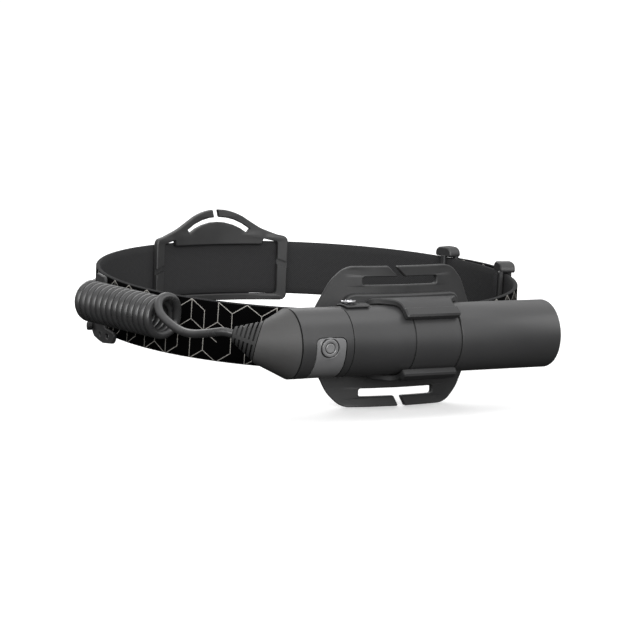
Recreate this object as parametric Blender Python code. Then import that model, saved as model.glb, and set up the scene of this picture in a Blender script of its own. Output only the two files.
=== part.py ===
"""Headband lamp: a strap round the head, a tubular battery pack clipped to a plate at the rear,
a small tilting lamp on a bracket at the front, and a curly cord between them.

Run with: blender --background --python part.py
The frame is the wearer's: +X right, +Y forward, +Z up, origin at the middle of the strap's loop.
Sizes are in millimetres and become metres where each object is made.
"""

import math

import bmesh
import bpy
import numpy as np
from mathutils import Matrix, Vector
from mathutils.geometry import tessellate_polygon

MM = 0.001
GAP = 0.3  # between pieces that touch on the real object

# Strap loop: an oval with a longer right half, because the strap is doubled there.
LOOP_LEFT = 87.6
LOOP_RIGHT = 97.6
LOOP_DEPTH = 89.6
LOOP_RISE = 0.036  # the strap sits higher at the forehead
STRAP_WIDTH = 25.0
STRAP_THICK = 1.8
STRAP_OUT = STRAP_THICK / 2
STRAP_START = math.radians(83.0)  # at the fixed buckle's front bar
STRAP_END = math.radians(434.5)  # all the way round, to its rear bar

# Battery tube, along X
TUBE_R = 13.9
TUBE_Y = -110.0
TUBE_Z = 0.4
TUBE_LEFT = -59.1
TUBE_SEAM = -36.8
CLIP_LEFT = -9.2
CLIP_RIGHT = 11.0
TUBE_RIGHT = 58.3
TUBE_WALL = 1.5
SEAM_CHAMFER = 0.12
CELL_R = 10.5
CELL_LENGTH = 69.0  # without its 1 mm terminal

# End cap: its small end leans towards the head, and the cord leaves along the strap.
CAP_SMALL_R = 8.7
CAP_SHIFT = Vector((-10.5, 3.7, 0.9))
CORD_YAW = math.radians(32.0)
CORD_PITCH = math.radians(13.0)
CORD_OUT = Vector((
    -math.cos(CORD_YAW) * math.cos(CORD_PITCH),
    math.sin(CORD_YAW) * math.cos(CORD_PITCH),
    math.sin(CORD_PITCH),
))
RELIEF_LENGTH = 10.0

# Smoked panel with the pack's button, let into the control housing
PANEL_LEFT = -53.6
PANEL_RIGHT = -40.2
PANEL_TOP = math.radians(17.5)
PANEL_BOTTOM = math.radians(-104.0)
PANEL_DEPTH = 1.0
BUTTON_X = -47.6
BUTTON_R = 1.9
BUTTON_RING_R = 3.5
BUTTON_TRAVEL = 0.5

# Rear plate, laid on the strap; u runs along the strap and v up
PLATE_Z = -1.5
PLATE_HALF = 36.0
PLATE_TOP = 28.8
PLATE_THICK = 2.4
PLATE_OUT = STRAP_OUT + GAP + PLATE_THICK
SLOT_HALF = 16.5
SLOT_Z = 22.8
SLOT_HEIGHT = 3.4
SLIT = 3.0
SLIT_LEAN = {1: -4.4, -1: 2.4}  # above and below, towards the plate's edge
PAD_HALF = 24.5

# Front bracket, inside the strap, and the lamp outside it
BRACKET_HALF = 36.2
BRACKET_LOW = -15.4
BRACKET_HIGH = 14.8
BRACKET_THICK = 2.6
FRONT_Z = LOOP_RISE * LOOP_DEPTH
ARCH_RISE = 12.9
ARCH = ((31.0, 1.0), (23.0, 3.9), (16.9, 7.3), (12.0, 10.2), (6.0, 12.3), (0.0, ARCH_RISE))
SLIT_WEB = 0.9  # what the side slits leave of the bracket's thickness
SIDE_SLITS = ((-1, -0.2), (1, 1.5))  # each side's slit and its middle height
ARCH_SLIT_X = -0.57
ARCH_SLIT_LOW = 8.6  # over the bracket's shoulders
LAMP_R = 12.0
LAMP_Z = 0.8
LAMP_Y = 108.5
LAMP_LENGTH = 17.0
BASE_THICK = 3.0
YOKE_INNER = 12.6
YOKE_OUTER = 15.4

# Cord
CORD_R = 1.7
COIL_R = 8.7
COIL_REAR = Vector((-87.5, -50.7, 2.9))
COIL_FRONT = Vector((-100.4, -6.5, 3.8))

scene = bpy.context.scene
for old in list(bpy.data.objects):
    bpy.data.objects.remove(old, do_unlink=True)


# ---------------------------------------------------------------- materials

def material(name, color, roughness, metallic=0.0, alpha=1.0):
    made = bpy.data.materials.new(name)
    made.use_nodes = True
    shader = made.node_tree.nodes["Principled BSDF"]
    shader.inputs["Base Color"].default_value = (*color, 1.0)
    shader.inputs["Roughness"].default_value = roughness
    shader.inputs["Metallic"].default_value = metallic
    shader.inputs["Alpha"].default_value = alpha
    return made


SHELL = material("satin_black_shell", (0.035, 0.036, 0.038), 0.42)
PLASTIC = material("black_plastic", (0.03, 0.03, 0.032), 0.5)
SOFT = material("soft_plastic", (0.045, 0.045, 0.048), 0.6)
RUBBER = material("black_rubber", (0.03, 0.03, 0.03), 0.7)
WEBBING = material("strap_webbing", (0.02, 0.02, 0.021), 0.85)
SMOKE = material("smoked_panel", (0.12, 0.12, 0.125), 0.3)
CHROME = material("chrome", (0.8, 0.8, 0.82), 0.12, 1.0)
STEEL = material("steel", (0.6, 0.6, 0.62), 0.3, 1.0)
ALUMINIUM = material("aluminium", (0.7, 0.71, 0.72), 0.35, 1.0)
BOARD = material("circuit_board", (0.03, 0.16, 0.07), 0.5)
CELL_WRAP = material("cell_wrap", (0.08, 0.2, 0.42), 0.4)
EMITTER = material("led_phosphor", (0.95, 0.85, 0.35), 0.4)
LENS = material("clear_lens", (0.9, 0.93, 0.95), 0.05, 0.0, 0.35)


# ---------------------------------------------------------------- making objects

def finish(name, bm, stuff, pivot=None, smooth=32.0):
    """Turns a mesh in millimetres into the object `name`, with its origin at `pivot`."""
    origin = Vector(pivot) if pivot else Vector((0, 0, 0))
    bmesh.ops.translate(bm, vec=-origin, verts=bm.verts)
    bmesh.ops.scale(bm, vec=(MM, MM, MM), verts=bm.verts)
    bmesh.ops.recalc_face_normals(bm, faces=bm.faces)
    mesh = bpy.data.meshes.new(name)
    bm.to_mesh(mesh)
    bm.free()
    mesh.shade_smooth()
    mesh.set_sharp_from_angle(angle=math.radians(smooth))
    mesh.materials.append(stuff)
    made = bpy.data.objects.new(name, mesh)
    made.location = origin * MM
    scene.collection.objects.link(made)
    return made


def combine(target, tool, operation):
    """Cuts the hidden object `tool` from `target`, or joins it on."""
    tool.hide_render = True
    tool.display_type = "WIRE"
    change = target.modifiers.new(tool.name, "BOOLEAN")
    change.operation = operation
    change.solver = "EXACT"
    change.object = tool


def axes(origin, along, up=(0, 0, 1)):
    """A frame whose X runs along `along` and whose Z is as near `up` as it can be."""
    x = Vector(along).normalized()
    y = Vector(up).cross(x).normalized()
    z = x.cross(y)
    placed = Matrix((x, y, z)).transposed().to_4x4()
    placed.translation = Vector(origin)
    return placed


def ring_faces(bm, rings, closed_along, closed_round=True):
    """Skins neighbouring rings of vertices; a ring of one vertex is a pole."""
    pairs = list(zip(rings, rings[1:]))
    if closed_along:
        pairs.append((rings[-1], rings[0]))
    for first, second in pairs:
        count = max(len(first), len(second))
        for i in range(count if closed_round else count - 1):
            j = (i + 1) % count
            corners = [first[i % len(first)], first[j % len(first)]]
            corners += [second[j % len(second)], second[i % len(second)]]
            seen = list(dict.fromkeys(corners))
            if len(seen) > 2:
                bm.faces.new(seen)


def turned(profile, place, steps=48):
    """(along, radius) points turned about the frame's X. A profile that starts on the axis is
    solid and ends on it; any other profile closes on itself and makes a ring."""
    bm = bmesh.new()
    rings = []
    for along, radius in profile:
        if radius == 0:
            rings.append([bm.verts.new(place @ Vector((along, 0, 0)))])
            continue
        ring = []
        for i in range(steps):
            angle = math.tau * i / steps
            point = Vector((along, radius * math.cos(angle), radius * math.sin(angle)))
            ring.append(bm.verts.new(place @ point))
        rings.append(ring)
    ring_faces(bm, rings, closed_along=profile[0][1] != 0)
    return bm


def disc(low, high, radius, edge=0.2):
    """Profile of a short round solid with chamfered edges."""
    return [(low, 0), (low, radius - edge), (low + edge, radius),
            (high - edge, radius), (high, radius - edge), (high, 0)]


def tube_profile(low, high, outer, inner, edge=0.2):
    return [(low, inner), (low, outer - edge), (low + edge, outer),
            (high - edge, outer), (high, outer - edge), (high, inner)]


def loft(sections):
    """A solid skinned over sections with equal numbers of points, and capped."""
    bm = bmesh.new()
    rings = [[bm.verts.new(point) for point in section] for section in sections]
    ring_faces(bm, rings, closed_along=False)
    bm.faces.new(reversed(rings[0]))
    bm.faces.new(rings[-1])
    return bm


def rounded(corners, steps=3):
    """An outline from (x, y, radius) corners, each with its own rounding."""
    outline = []
    count = len(corners)
    for i, (x, y, radius) in enumerate(corners):
        here = Vector((x, y))
        before = (Vector(corners[i - 1][:2]) - here).normalized()
        after = (Vector(corners[(i + 1) % count][:2]) - here).normalized()
        if radius == 0:
            outline.append(here)
            continue
        half = before.angle(after) / 2
        centre = here + (before + after).normalized() * radius / math.sin(half)
        start = here + before * radius / math.tan(half) - centre
        sweep = start.angle_signed(here + after * radius / math.tan(half) - centre)
        for k in range(steps + 1):
            turn = Matrix.Rotation(-sweep * k / steps, 2)
            outline.append(centre + turn @ start)
    return outline


def box_outline(left, right, low, high, radius=0.0):
    return rounded([(left, low, radius), (right, low, radius),
                    (right, high, radius), (left, high, radius)])


def round_outline(x, y, radius, steps=20):
    return [Vector((x + radius * math.cos(math.tau * i / steps),
                    y + radius * math.sin(math.tau * i / steps))) for i in range(steps)]


def area(loop):
    return sum(a.x * b.y - a.y * b.x for a, b in zip(loop, loop[1:] + loop[:1])) / 2


def inset(loop, distance):
    """Moves each side of the loop to its left by `distance`."""
    moved = []
    for i, here in enumerate(loop):
        before = (here - loop[i - 1]).normalized()
        after = (loop[(i + 1) % len(loop)] - here).normalized()
        first = Vector((-before.y, before.x))
        second = Vector((-after.y, after.x))
        moved.append(here + (first + second) * distance / (1 + first.dot(second)))
    return moved


def slab(outline, holes, low, high, edge, place, step=None):
    """A plate from `low` to `high` with chamfered edges. It is cut across every `step`, so that
    place(x, y, height) can bend it."""
    loops = [outline if area(outline) > 0 else outline[::-1]]
    loops += [hole[::-1] if area(hole) > 0 else hole for hole in holes]
    bm = bmesh.new()
    levels = []
    for height, distance in ((low, edge), (low + edge, 0), (high - edge, 0), (high, edge)):
        levels.append([[bm.verts.new((p.x, p.y, height)) for p in inset(loop, distance)]
                       for loop in loops])
    for lower, upper in zip(levels, levels[1:]):
        for first, second in zip(lower, upper):
            ring_faces(bm, [first, second], closed_along=False)
    for level in (levels[0], levels[-1]):
        flat = [vert for ring in level for vert in ring]
        for corners in tessellate_polygon([[vert.co for vert in ring] for ring in level]):
            bm.faces.new([flat[i] for i in corners])
    bmesh.ops.recalc_face_normals(bm, faces=bm.faces)
    if step:
        xs = [vert.co.x for vert in bm.verts]
        count = int((max(xs) - min(xs)) / step)
        for k in range(1, count):
            across = min(xs) + (max(xs) - min(xs)) * k / count + 0.013
            everything = bm.verts[:] + bm.edges[:] + bm.faces[:]
            bmesh.ops.bisect_plane(bm, geom=everything, dist=1e-4, plane_co=(across, 0, 0),
                                   plane_no=(1, 0, 0))
    for vert in bm.verts:
        vert.co = place(*vert.co)
    return bm


# ---------------------------------------------------------------- the loop

def loop_point(turn):
    """The strap's middle at `turn`, the angle from the rear towards the right."""
    reach = LOOP_RIGHT if math.sin(turn) > 0 else LOOP_LEFT
    return Vector((reach * math.sin(turn), -LOOP_DEPTH * math.cos(turn), 0))


TURNS = np.radians(np.arange(-360, 480.5, 0.5))
PLACES = np.array([loop_point(turn) for turn in TURNS])
LENGTHS = np.concatenate([[0], np.cumsum(np.linalg.norm(np.diff(PLACES, axis=0), axis=1))])
LENGTHS -= np.interp(0, TURNS, LENGTHS)


def length_at(turn):
    return float(np.interp(turn, TURNS, LENGTHS))


def on_loop(length, height, offset):
    """`length` along the strap from its rear, `height` from its middle, `offset` outwards."""
    turn = float(np.interp(length, LENGTHS, TURNS))
    reach = LOOP_RIGHT if math.sin(turn) > 0 else LOOP_LEFT
    tangent = Vector((reach * math.cos(turn), LOOP_DEPTH * math.sin(turn), 0)).normalized()
    outward = Vector((tangent.y, -tangent.x, 0))
    middle = loop_point(turn)
    return middle + outward * offset + Vector((0, 0, height + LOOP_RISE * middle.y))


FRONT = length_at(math.pi)


def on_rear(x, y, offset):
    """The rear plate's frame: level, so the strap's rise is taken out."""
    point = on_loop(x, y, offset)
    turn = float(np.interp(x, LENGTHS, TURNS))
    return point - Vector((0, 0, LOOP_RISE * loop_point(turn).y))


def on_front(x, y, offset):
    """The front bracket's frame: x to the wearer's right, level at the forehead's height."""
    point = on_loop(FRONT - x, 0, offset)
    return Vector((point.x, point.y, y + FRONT_Z))


def band(start, end, offset, thick, width, step=6.0):
    """A stretch of strap from `start` to `end` with its middle at offset(length)."""
    count = max(2, round((end - start) / step))
    sections = []
    for k in range(count + 1):
        length = start + (end - start) * k / count
        middle = offset(length)
        sections.append([on_loop(length, width / 2 * side, middle + thick / 2 * face)
                         for side, face in ((-1, -1), (-1, 1), (1, 1), (1, -1))])
    return loft(sections)


def smooth_path(points, spacing):
    """Points every `spacing` along a smooth curve through `points`."""
    dense = []
    padded = [2 * points[0] - points[1], *points, 2 * points[-1] - points[-2]]
    for p0, p1, p2, p3 in zip(padded, padded[1:], padded[2:], padded[3:]):
        for k in range(24):
            t = k / 24
            dense.append(0.5 * (2 * p1 + (p2 - p0) * t + (2 * p0 - 5 * p1 + 4 * p2 - p3) * t ** 2
                                + (3 * p1 - p0 - 3 * p2 + p3) * t ** 3))
    dense.append(points[-1])
    along = np.concatenate([[0], np.cumsum([(b - a).length for a, b in zip(dense, dense[1:])])])
    count = max(2, round(along[-1] / spacing))
    stations = np.linspace(0, along[-1], count + 1)
    columns = [np.interp(stations, along, [p[axis] for p in dense]) for axis in range(3)]
    return [Vector(point) for point in zip(*columns)]


def cord_tube(name, points, radius, stuff, resolution=2):
    """A plain round cord along `points`, which are in millimetres."""
    data = bpy.data.curves.new(name, "CURVE")
    data.dimensions = "3D"
    data.bevel_depth = radius * MM
    data.bevel_resolution = resolution
    data.use_fill_caps = True
    spline = data.splines.new("POLY")
    spline.points.add(len(points) - 1)
    for place, point in zip(spline.points, points):
        place.co = (*(point * MM), 1)
    data.materials.append(stuff)
    made = bpy.data.objects.new(name, data)
    scene.collection.objects.link(made)
    return made


# ---------------------------------------------------------------- battery pack

TUBE = axes((0, TUBE_Y, TUBE_Z), (1, 0, 0))


def on_tube(x, angle, radius):
    """A point of the tube at `angle` above the side that faces away from the head."""
    return Vector((x, TUBE_Y - radius * math.cos(angle), TUBE_Z + radius * math.sin(angle)))


def tube_slab(outline, holes, low, high, edge, step=4.0):
    """A plate wrapped on the tube. Its outline is in (arc length, x), from radius low to high."""
    def place(arc, x, radius):
        return on_tube(x, arc / TUBE_R, radius)
    return slab(outline, holes, low, high, edge, place, step)


def button_frame(out):
    return axes((BUTTON_X, TUBE_Y - out, TUBE_Z), (0, -1, 0))


def battery_pack():
    inner = TUBE_R - TUBE_WALL
    control = finish("control_housing", turned(
        tube_profile(TUBE_LEFT, TUBE_SEAM - GAP, TUBE_R, inner - 0.6, SEAM_CHAMFER), TUBE, 48), SHELL)
    pocket = rounded([(PANEL_BOTTOM * TUBE_R, PANEL_LEFT, 2.4), (PANEL_BOTTOM * TUBE_R, PANEL_RIGHT, 2.4),
                      (PANEL_TOP * TUBE_R, PANEL_RIGHT, 2.4), (PANEL_TOP * TUBE_R, PANEL_LEFT, 2.4)])
    cutter = finish("panel_pocket", tube_slab(
        pocket, [], TUBE_R - PANEL_DEPTH - GAP, TUBE_R + 2, 0.01), SHELL)
    combine(control, cutter, "DIFFERENCE")
    well = finish("button_well", turned(disc(0, 8, BUTTON_R + GAP, 0.01), button_frame(7.5), 20), SHELL)
    combine(control, well, "DIFFERENCE")

    hole = round_outline(0, BUTTON_X, BUTTON_RING_R + GAP + 0.3, 20)
    finish("smoked_panel", tube_slab(
        inset(pocket if area(pocket) > 0 else pocket[::-1], 0.35), [hole],
        TUBE_R - PANEL_DEPTH, TUBE_R, 0.12), SMOKE)
    finish("button_ring", turned([
        (12.9, BUTTON_R + GAP), (12.9, BUTTON_RING_R), (13.9, BUTTON_RING_R),
        (14.15, BUTTON_RING_R - 0.3), (14.15, BUTTON_R + GAP + 0.3), (13.95, BUTTON_R + GAP),
    ], button_frame(0), 32), SOFT)
    finish("pack_button", turned([
        (9.6, 0), (9.6, BUTTON_R), (14.0, BUTTON_R), (14.2, BUTTON_R - 0.3), (14.1, 0),
    ], button_frame(0), 20), RUBBER, pivot=(BUTTON_X, TUBE_Y - 9.6, TUBE_Z))
    finish("tact_switch", turned(disc(7.6, 8.8, 2.6), button_frame(0), 16), STEEL)

    # The main tube: plain left half, and a clip section between two grooves
    groove = 0.7
    profile = [
        (TUBE_SEAM, inner), (TUBE_SEAM, TUBE_R - SEAM_CHAMFER), (TUBE_SEAM + SEAM_CHAMFER, TUBE_R),
        (CLIP_LEFT - groove, TUBE_R), (CLIP_LEFT - groove, TUBE_R - 0.6), (CLIP_LEFT, TUBE_R - 0.6),
        (CLIP_LEFT, TUBE_R), (CLIP_RIGHT - 0.2, TUBE_R), (CLIP_RIGHT, TUBE_R - 0.2), (CLIP_RIGHT, inner),
    ]
    finish("main_tube", turned(profile, TUBE, 48), SHELL)
    barrel_start = CLIP_RIGHT + 0.8
    spigot = TUBE_R - TUBE_WALL - GAP
    profile = [
        (CLIP_RIGHT - 7.0, spigot - 1.0), (CLIP_RIGHT - 7.0, spigot), (barrel_start, spigot),
        (barrel_start, TUBE_R - 0.3), (barrel_start + 0.3, TUBE_R), (TUBE_RIGHT - 1.0, TUBE_R),
        (TUBE_RIGHT - 0.3, TUBE_R - 0.3), (TUBE_RIGHT, TUBE_R - 1.0), (TUBE_RIGHT, 0),
        (TUBE_RIGHT - 2.0, 0), (TUBE_RIGHT - 2.0, spigot - 1.0),
    ]
    bm = turned_cup(profile, TUBE, 48)
    finish("barrel", bm, SHELL, pivot=(0, TUBE_Y, TUBE_Z))
    finish("barrel_o_ring", turned([
        (CLIP_RIGHT + 0.1, spigot + 0.15), (CLIP_RIGHT + 0.1, TUBE_R - 0.5),
        (CLIP_RIGHT + 0.5, TUBE_R - 0.5), (CLIP_RIGHT + 0.5, spigot + 0.15),
    ], TUBE, 32), RUBBER, pivot=(0, TUBE_Y, TUBE_Z))

    cell_left = -19.0
    finish("battery_cell", turned([
        (cell_left, 0), (cell_left, CELL_R - 0.8), (cell_left + 0.8, CELL_R),
        (cell_left + CELL_LENGTH - 0.8, CELL_R), (cell_left + CELL_LENGTH, CELL_R - 0.8),
        (cell_left + CELL_LENGTH, 3.2), (cell_left + CELL_LENGTH + 1.0, 3.2),
        (cell_left + CELL_LENGTH + 1.0, 0),
    ], TUBE, 24), CELL_WRAP)
    finish("contact_plate", turned(disc(cell_left - 2.3, cell_left - 0.5, 9.0), TUBE, 20), STEEL)
    spring = []
    turns, low, high = 4, cell_left + CELL_LENGTH + 1.7, TUBE_RIGHT - 2.7
    for k in range(turns * 12 + 1):
        part = k / (turns * 12)
        angle = math.tau * turns * part
        radius = 3.6 + 2.6 * part
        spring.append(on_tube(low + (high - low) * part, angle, radius))
    cord_tube("contact_spring", spring, 0.4, STEEL, 0)
    board = slab(box_outline(TUBE_LEFT + 3, TUBE_SEAM + 14, -8.5, 8.5, 1.0), [], -0.8, 0.8, 0.1,
                 lambda x, y, z: Vector((x, TUBE_Y - 6.0 + z, TUBE_Z + y)))
    finish("control_board", board, BOARD)
    charge_contacts()


def turned_cup(profile, place, steps):
    """Turns a cup: its profile meets the axis twice, on the closed end's two faces."""
    bm = bmesh.new()
    rings = []
    for along, radius in profile:
        count = steps if radius else 1
        rings.append([bm.verts.new(place @ Vector((
            along, radius * math.cos(math.tau * i / steps), radius * math.sin(math.tau * i / steps))))
            for i in range(count)])
    pairs = list(zip(rings, rings[1:])) + [(rings[-1], rings[0])]
    for first, second in pairs:
        if len(first) > 1 or len(second) > 1:
            ring_faces(bm, [first, second], closed_along=False)
    return bm


BOSS_X = -30.5
CONTACT_X = -32.6
TOP = math.radians(94.0)


def charge_contacts():
    """A flat-topped block on the tube, with a round magnetic contact."""
    half_x, half_arc = 5.4, 4.6
    outline = box_outline(TOP * TUBE_R - half_arc, TOP * TUBE_R + half_arc,
                          BOSS_X - half_x, BOSS_X + half_x, 1.0)
    finish("charge_block", tube_slab(outline, [], TUBE_R + GAP, TUBE_R + 1.1, 0.25, 3.0), PLASTIC)
    out = Vector((0, -math.cos(TOP), math.sin(TOP)))
    base = Vector((CONTACT_X, TUBE_Y, TUBE_Z))
    contact = axes(base, out, (1, 0, 0))
    top = TUBE_R + 1.4
    finish("contact_ring", turned(tube_profile(top, top + 0.9, 3.1, 1.7, 0.25), contact, 24), CHROME)
    finish("contact_pin", turned(disc(top, top + 0.7, 1.3), contact, 14), CHROME)


CAP_BASE = Vector((TUBE_LEFT - GAP, TUBE_Y, TUBE_Z))
CAP_TIP = CAP_BASE + CAP_SHIFT
RELIEF = axes(CAP_TIP + CORD_OUT * GAP, CORD_OUT)
RELIEF_R = 8.2
RELIEF_TIP_R = 2.7


def end_cap():
    """A cone that leans back towards the head, from the tube to the cord's way out."""
    first = axes(CAP_BASE, (-1, 0, 0))
    last = axes(CAP_TIP, CORD_OUT)

    def ring(place, along, radius):
        around = [math.tau * i / 48 for i in range(48)]
        return [place @ Vector((along, radius * math.cos(t), radius * math.sin(t))) for t in around]

    wide, narrow = ring(first, 0, TUBE_R), ring(last, 0, CAP_SMALL_R)
    shoulder = [a.lerp(b, 0.96) for a, b in zip(wide, narrow)]
    sections = [ring(first, 0, TUBE_R - 0.5), ring(first, 0.5, TUBE_R), shoulder,
                ring(last, 0, CAP_SMALL_R - 0.2)]
    finish("end_cap", loft(sections), SOFT)


def strain_relief():
    """Six slats on a tapered core, with a flat spine through their middle."""
    slats, slat = 6, 1.05
    pitch = (RELIEF_LENGTH - slat) / (slats - 1)
    profile = [(0, 0)]
    for k in range(slats):
        start = pitch * k
        for along in (start, start + slat):
            wide = RELIEF_R + (RELIEF_TIP_R + 0.3 - RELIEF_R) * along / RELIEF_LENGTH
            profile.append((along, wide))
        if k < slats - 1:
            for along in (start + slat, start + pitch):
                core = 5.4 + (RELIEF_TIP_R - 0.4 - 5.4) * along / RELIEF_LENGTH
                profile.append((along, core))
    profile.append((RELIEF_LENGTH, 0))
    relief = finish("strain_relief", turned(profile, RELIEF, 20), RUBBER)
    sections = []
    for along in (0.1, RELIEF_LENGTH - 0.1):
        wide = RELIEF_R + (RELIEF_TIP_R + 0.3 - RELIEF_R) * along / RELIEF_LENGTH - 0.05
        sections.append([RELIEF @ Vector((along, y * wide, z * 0.7))
                         for y, z in ((-1, -1), (1, -1), (1, 1), (-1, 1))])
    spine = finish("relief_spine", loft(sections), RUBBER)
    combine(relief, spine, "UNION")


# ---------------------------------------------------------------- cradle

def slit_outline(x, low, high, lean):
    """A slanted slit that is `SLIT` wide, from `low` up to `high`."""
    left, right = x - SLIT / 2, x + SLIT / 2
    return [(left, low), (right, low), (right + lean, high), (left + lean, high)]


def slot_edge(side):
    """The plate's upper (side 1) or lower (-1) edge, with its slot opened by a slanted slit."""
    low, high = SLOT_Z - SLOT_HEIGHT / 2, SLOT_Z + SLOT_HEIGHT / 2
    lean = SLIT_LEAN[side]
    points = [(-PLATE_HALF * 0.6 - 2.0, PLATE_TOP, 9.0)]
    points += [(-SLIT / 2 + lean, PLATE_TOP, 0.5), (-SLIT / 2, high, 0.5), (-SLOT_HALF, high, 1.0),
               (-SLOT_HALF, low, 1.0), (SLOT_HALF, low, 1.0), (SLOT_HALF, high, 1.0),
               (SLIT / 2, high, 0.5), (SLIT / 2 + lean, PLATE_TOP, 0.5)]
    points += [(PLATE_HALF * 0.6 + 2.0, PLATE_TOP, 9.0)]
    return [(x, side * y, radius) for x, y, radius in points]


def rear_plate():
    """The plate behind the battery; its outline is stepped in towards the slots."""
    upper = slot_edge(1)
    lower = slot_edge(-1)[::-1]
    right = [(PLATE_HALF * 0.6 + 8.0, PLATE_TOP - 6.0, 14.0), (PLATE_HALF, 10.0, 14.0),
             (PLATE_HALF, -10.0, 14.0), (PLATE_HALF * 0.6 + 8.0, -PLATE_TOP + 6.0, 14.0)]
    left = [(-x, y, radius) for x, y, radius in right][::-1]
    outline = rounded([(x, y + PLATE_Z, radius) for x, y, radius in upper + right + lower + left], 5)
    finish("rear_plate", slab(outline, [], STRAP_OUT + GAP + 0.1, PLATE_OUT, 0.4, on_rear, 12.0), PLASTIC)


PAD_LOW = PLATE_OUT + GAP
CRADLE_IN = TUBE_R + GAP
JAW_THICK = 2.4
LIP_ANGLE = {1: math.radians(41.0), -1: math.radians(46.0)}  # above and below
LIP_HALF = 11.8
JAW_X = -1.2


def cradle():
    """The pad on the plate is hollowed to the tube, and its two jaws reach round it."""
    pad = finish("cradle_pad", slab(
        rounded([(-PAD_HALF, -13.5, 4), (PAD_HALF, -13.5, 4), (PAD_HALF, 16.5, 4), (-PAD_HALF, 16.5, 4)]),
        [], PAD_LOW, PAD_LOW + 4.4, 0.6, on_rear, 12.0), PLASTIC)
    bore = finish("tube_space", turned(
        disc(-60, 60, CRADLE_IN + JAW_THICK + GAP, 0.01), TUBE, 48), PLASTIC)
    combine(pad, bore, "DIFFERENCE")
    for name, side in (("upper_jaw", 1), ("lower_jaw", -1)):
        jaw(name, side)


def jaw(name, side):
    """One jaw, wide at the pad and narrowing to a lip that snaps over the tube."""
    def place(arc, x, radius):
        return on_tube(x + JAW_X, side * arc / TUBE_R, radius)
    lip = LIP_ANGLE[side] * TUBE_R
    root = math.radians(172.0) * TUBE_R
    shoulder = math.radians(74.0) * TUBE_R
    outline = rounded([
        (lip, -LIP_HALF, 0.8), (shoulder, -LIP_HALF, 5.0), (shoulder + 8.0, -LIP_HALF - 8.0, 5.0),
        (root, -LIP_HALF - 9.0, 1.0), (root, LIP_HALF + 9.0, 1.0),
        (shoulder + 8.0, LIP_HALF + 8.0, 5.0), (shoulder, LIP_HALF, 5.0), (lip, LIP_HALF, 0.8),
    ], 4)
    made = finish(name, slab(outline, [], CRADLE_IN, CRADLE_IN + JAW_THICK, 0.4, place, 4.0), PLASTIC)
    bead_outline = box_outline(lip - 0.2, lip + 3.6, -LIP_HALF - 0.4, LIP_HALF + 0.4, 0.8)
    bead = finish(name + "_bead", slab(
        bead_outline, [], CRADLE_IN + 0.05, CRADLE_IN + JAW_THICK + 0.9, 0.6, place, 1.5), PLASTIC)
    combine(made, bead, "UNION")


# ---------------------------------------------------------------- strap and buckles

def strap_middle(length):
    return 0.0


BUCKLE_1 = math.radians(109.0)
BUCKLE_2 = math.radians(80.5)
BUCKLE_HALF = 4.8
BAR = 2.0
RAIL_HEIGHT = 4.4
RAIL_ROUND = 3.0
RAIL_INSIDE = -2.9
RAIL_OUTSIDE = 4.1
BUCKLE_TRAVEL = 3.0
SLIDE_CENTRE = Vector((13.0, -0.6, 0.0))  # of the strap's arc under the slider buckle


def strap():
    finish("strap", band(length_at(STRAP_START), length_at(STRAP_END), strap_middle,
                         STRAP_THICK, STRAP_WIDTH, 8.0), WEBBING)
    start = length_at(BUCKLE_2) + BUCKLE_HALF + GAP
    end = length_at(BUCKLE_1) - BUCKLE_HALF - GAP - BUCKLE_TRAVEL

    def bulge(length):
        return 2.6 + 2.4 * math.sin(math.pi * (length - start) / (end - start))
    finish("strap_return", band(start, end, bulge, STRAP_THICK, STRAP_WIDTH, 3.0), WEBBING)


def buckle(name, turn, offsets, pivot=None):
    """A ladder buckle: two rails above and below the strap, and bars across it at `offsets`,
    each a pair of place along the strap and side of it (1 outside, -1 inside)."""
    middle = length_at(turn)
    rail_in = STRAP_WIDTH / 2 + 0.5
    rails = []
    for rail_name, side in ((name, 1), (name + "_rail", -1)):
        inner, outer = side * rail_in, side * (rail_in + RAIL_HEIGHT)
        outline = rounded([(-BUCKLE_HALF, inner, 1.0), (BUCKLE_HALF, inner, 1.0),
                           (BUCKLE_HALF, outer, RAIL_ROUND), (-BUCKLE_HALF, outer, RAIL_ROUND)][::side], 4)
        piece = slab(outline, [], RAIL_INSIDE, RAIL_OUTSIDE, 0.5,
                     lambda x, y, z: on_loop(middle + x, y, z), 4.0)
        rails.append(finish(rail_name, piece, PLASTIC, pivot))
    made = rails[0]
    combine(made, rails[1], "UNION")
    for k, (x, side) in enumerate(offsets):
        low, high = sorted((side * (STRAP_OUT + 0.4), side * (STRAP_OUT + 0.4 + BAR)))
        outline = box_outline(x - 1.3, x + 1.3, -rail_in - 0.6, rail_in + 0.6)
        piece = slab(outline, [], low, high, 0.4, lambda x, y, z: on_loop(middle + x, y, z))
        combine(made, finish(name + "_bar_" + str(k), piece, PLASTIC, pivot), "UNION")


# ---------------------------------------------------------------- front bracket and lamp

def bracket_outline(low, high):
    """Square below, with shoulders that rise to a low arch above."""
    arch = [*ARCH, *[(-x, y) for x, y in reversed(ARCH[:-1])]]
    corners = [(-BRACKET_HALF, low, 3.0), (BRACKET_HALF, low, 3.0), (BRACKET_HALF, high, 2.5)]
    corners += [(*place.xy, 0) for place in smooth_path([Vector((x, high + y, 0)) for x, y in arch], 2.5)]
    corners.append((-BRACKET_HALF, high, 2.5))
    return rounded(corners, 3)


def arc_slot(base, low, rise, thick):
    """A slot of even width along an arc, `rise` high over its ends at +-base."""
    radius = (base ** 2 + rise ** 2) / (2 * rise)
    reach = math.asin(base / radius)
    outline = []
    for wide, order in ((radius + thick / 2, 1), (radius - thick / 2, -1)):
        for k in range(9):
            angle = order * (reach - 2 * reach * k / 8)
            outline.append(Vector((wide * math.sin(angle), low + rise - radius + wide * math.cos(angle))))
    return outline


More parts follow.
